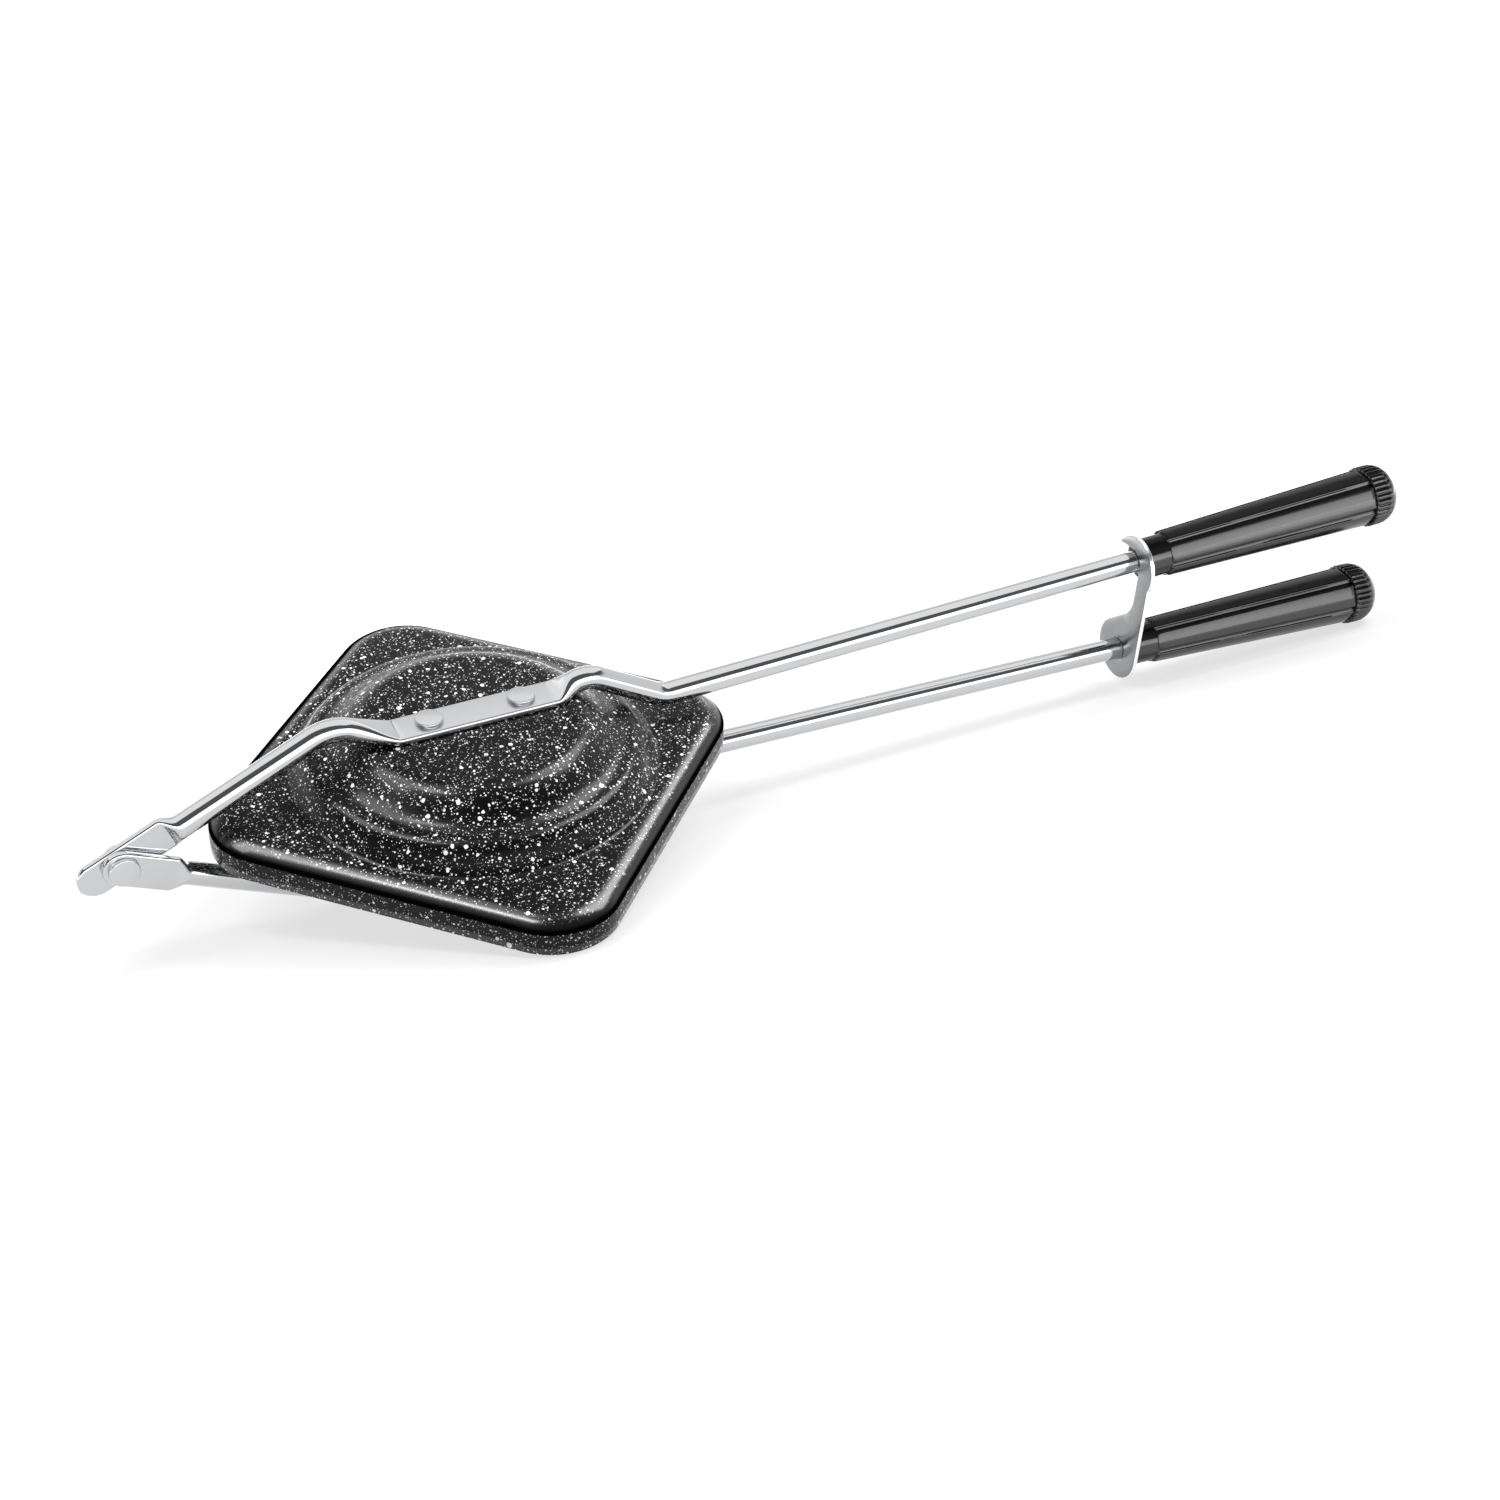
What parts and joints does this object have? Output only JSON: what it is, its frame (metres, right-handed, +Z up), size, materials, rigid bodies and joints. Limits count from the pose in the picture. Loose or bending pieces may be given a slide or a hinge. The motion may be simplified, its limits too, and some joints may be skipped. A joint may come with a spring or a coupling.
{
  "type": "pie iron",
  "caption": "Long-handled pie iron: two square domed pans on bent tube arms, hinged at one end and held shut by a swing latch at the ribbed grips.",
  "frame": {"origin": "middle of the box round the resting tool, on the table", "axes": "+X along the tool from the hinge to the grips, +Z up from the table"},
  "size_m": [0.5058, 0.1722, 0.0685],
  "materials": {
    "coating": "glossy black non-stick coating with fine white speckles on pressed aluminium",
    "tube": "polished plated steel tube",
    "rivet_steel": "satin steel",
    "latch_plate": "satin stamped steel with bright sheared edges",
    "grip_resin": "glossy black moulded phenolic resin"
  },
  "bodies": {
    "lower_side": {"lower_pan": "coating", "lower_arm": "tube", "lower_rear_rivet": "rivet_steel", "lower_front_rivet": "rivet_steel", "hinge_rivet": "rivet_steel", "lower_grip": "grip_resin", "lower_grip_plug": "rivet_steel", "lower_grip_screw": "rivet_steel", "lower_end_cap": "grip_resin"},
    "upper_side": {"upper_pan": "coating", "upper_arm": "tube", "upper_rear_rivet": "rivet_steel", "upper_front_rivet": "rivet_steel", "upper_grip": "grip_resin", "upper_grip_plug": "rivet_steel", "upper_grip_screw": "rivet_steel", "upper_end_cap": "grip_resin"},
    "latch_plate": {"latch": "latch_plate"}
  },
  "joints": [
    {"name": "arm_hinge", "type": "hinge", "parent": "lower_side", "child": "upper_side", "pos_m": [-0.23849, -0.00066, 0.03448], "axis": [-0.0013, -0.949, -0.3151], "range_deg": [0, 180]},
    {"name": "latch_swing", "type": "hinge", "parent": "lower_side", "child": "latch_plate", "pos_m": [0.13661, 0.0053, 0.01495], "axis": [0.9994, 0.0097, -0.0335], "range_deg": [0, 100]}
  ]
}
